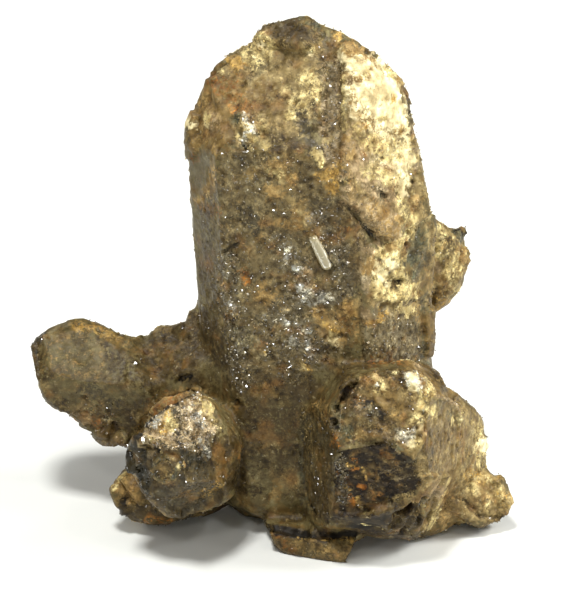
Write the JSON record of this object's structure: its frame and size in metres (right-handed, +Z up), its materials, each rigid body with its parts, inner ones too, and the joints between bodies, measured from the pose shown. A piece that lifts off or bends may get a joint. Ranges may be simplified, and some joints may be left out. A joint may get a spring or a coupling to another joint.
{
  "type": "jeffersonite crystal cluster",
  "caption": "Stout brown pyroxene crystal standing upright in a cluster of smaller crystals pointing outwards, with a flat broken underside.",
  "frame": {"origin": "middle of the cluster's outline on the ground, at the level of the flat broken underside", "axes": "+Z up along the large crystal, the side with the large glittering face looks towards -Y, the lone crystal on the left points to -X"},
  "size_m": [0.0534, 0.0348, 0.0579],
  "materials": {
    "jeffersonite": "satin",
    "clear_mineral": "satin"
  },
  "bodies": {
    "root": {"crystal_cluster": "jeffersonite"}
  },
  "joints": []
}
